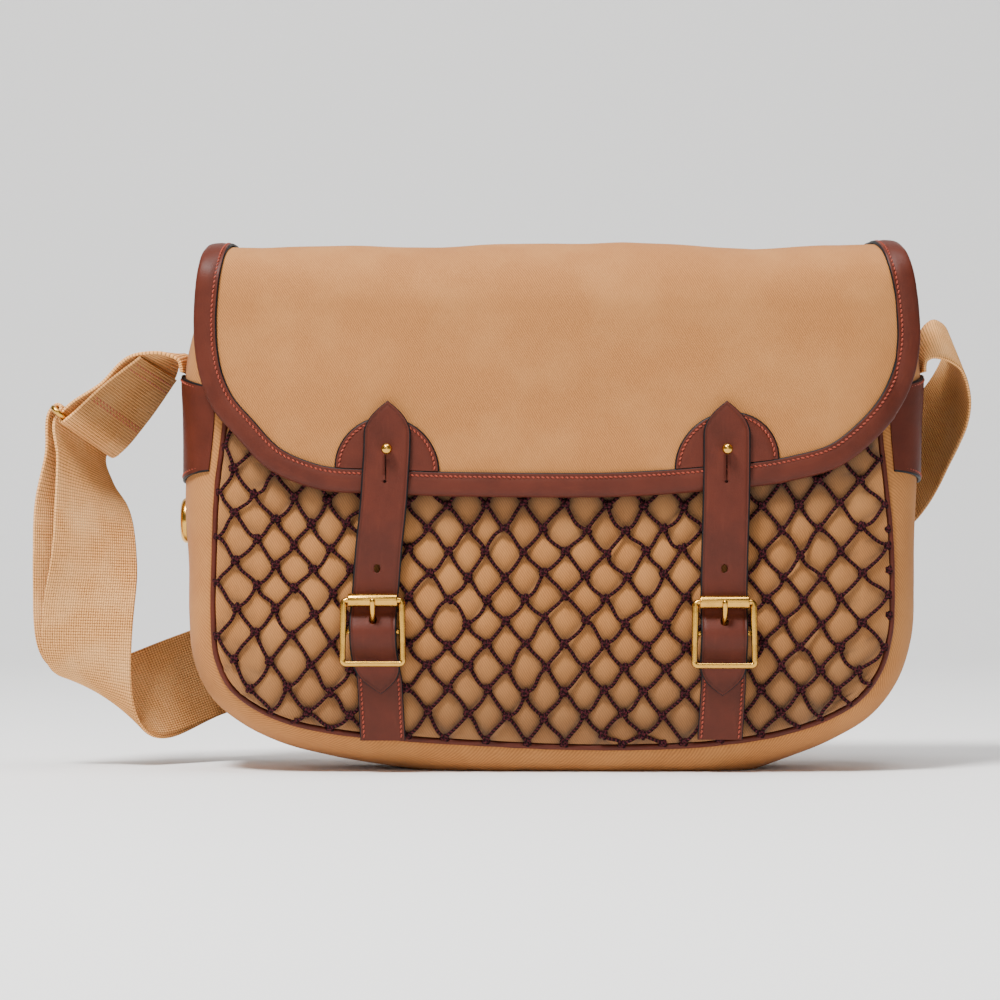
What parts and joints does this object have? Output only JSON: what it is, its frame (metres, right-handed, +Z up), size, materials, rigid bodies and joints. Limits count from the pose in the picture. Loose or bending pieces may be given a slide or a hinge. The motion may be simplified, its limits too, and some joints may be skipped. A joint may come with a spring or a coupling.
{
  "type": "hunting game bag",
  "caption": "Cotton drill game bag with a knotted net front, bound curved flap, buckled leather closure straps and webbing sling.",
  "frame": {"origin": "on the floor, under the middle of the bag's width and depth", "axes": "-Y towards the net front, +X towards the bag's right side as seen from the front, +Z up"},
  "size_m": [0.5208, 0.1308, 0.2905],
  "materials": {
    "drill": "tan cotton drill, matt twill",
    "leather": "dark brown bridle leather, low sheen",
    "cord": "dark brown knotted cord",
    "brass": "polished solid brass",
    "webbing": "tan cotton webbing, matt"
  },
  "bodies": {
    "root": {"back_panel": "drill", "front_panel": "drill", "gusset": "drill", "flap": "drill", "front_piping": "leather", "flap_binding": "leather", "strap_patch_left": "leather", "strap_patch_right": "leather", "closure_strap_left": "leather", "closure_strap_right": "leather", "buckle_tab_left": "leather", "buckle_tab_right": "leather", "side_patch_left": "leather", "side_patch_right": "leather", "net": "cord", "strap_stud_left": "brass", "strap_stud_right": "brass", "buckle_frame_left": "brass", "buckle_frame_right": "brass", "buckle_roller_left": "brass", "buckle_roller_right": "brass", "buckle_tongue_left": "brass", "buckle_tongue_right": "brass", "vent_eyelet": "brass", "sling_loop": "brass", "sling_short": "webbing", "sling_long": "webbing"}
  },
  "joints": []
}
